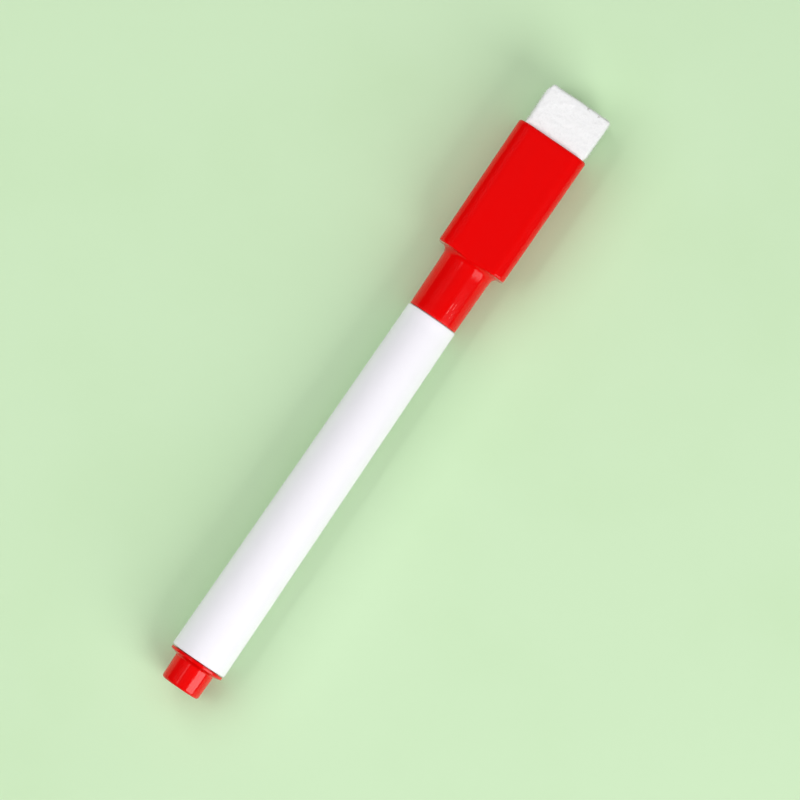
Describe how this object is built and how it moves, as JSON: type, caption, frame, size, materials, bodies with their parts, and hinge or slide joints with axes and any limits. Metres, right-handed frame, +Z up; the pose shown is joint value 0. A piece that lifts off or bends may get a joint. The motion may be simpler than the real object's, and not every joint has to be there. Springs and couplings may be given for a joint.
{
  "type": "whiteboard marker",
  "caption": "Small whiteboard marker with a tapered barrel, a tail stub and a pull-off cap whose flat-sided sleeve holds a felt eraser block.",
  "frame": {"origin": "on the surface the marker lies on, below the middle of its length and width", "axes": "+X along the pen from the tail plug to the eraser, +Y across the cap sleeve's width, +Z up from the surface"},
  "size_m": [0.115, 0.013, 0.0101],
  "materials": {
    "barrel_plastic": "moulded white polypropylene, glossy",
    "plug_plastic": "moulded red polypropylene, glossy",
    "core_fibre": "bonded fibre soaked with red ink",
    "wrap_film": "thin cloudy film",
    "holder_plastic": "moulded white plastic, satin",
    "nib_fibre": "bonded fibre, ink-stained",
    "cap_plastic": "moulded red polypropylene, satin gloss",
    "seal_plastic": "soft natural polyethylene",
    "glue": "set glue",
    "felt": "pressed white felt"
  },
  "bodies": {
    "pen": {"barrel": "barrel_plastic", "tail_plug": "plug_plastic", "ink_core": "core_fibre", "core_wrap": "wrap_film", "nib_holder": "holder_plastic", "nib": "nib_fibre"},
    "cap": {"cap_shell": "cap_plastic", "cap_inner_seal": "seal_plastic", "felt_glue": "glue", "eraser_felt": "felt"}
  },
  "joints": [
    {"name": "cap_pull", "type": "slide", "parent": "pen", "child": "cap", "axis": [1, 0, 0], "range_m": [0, 0.04]}
  ]
}
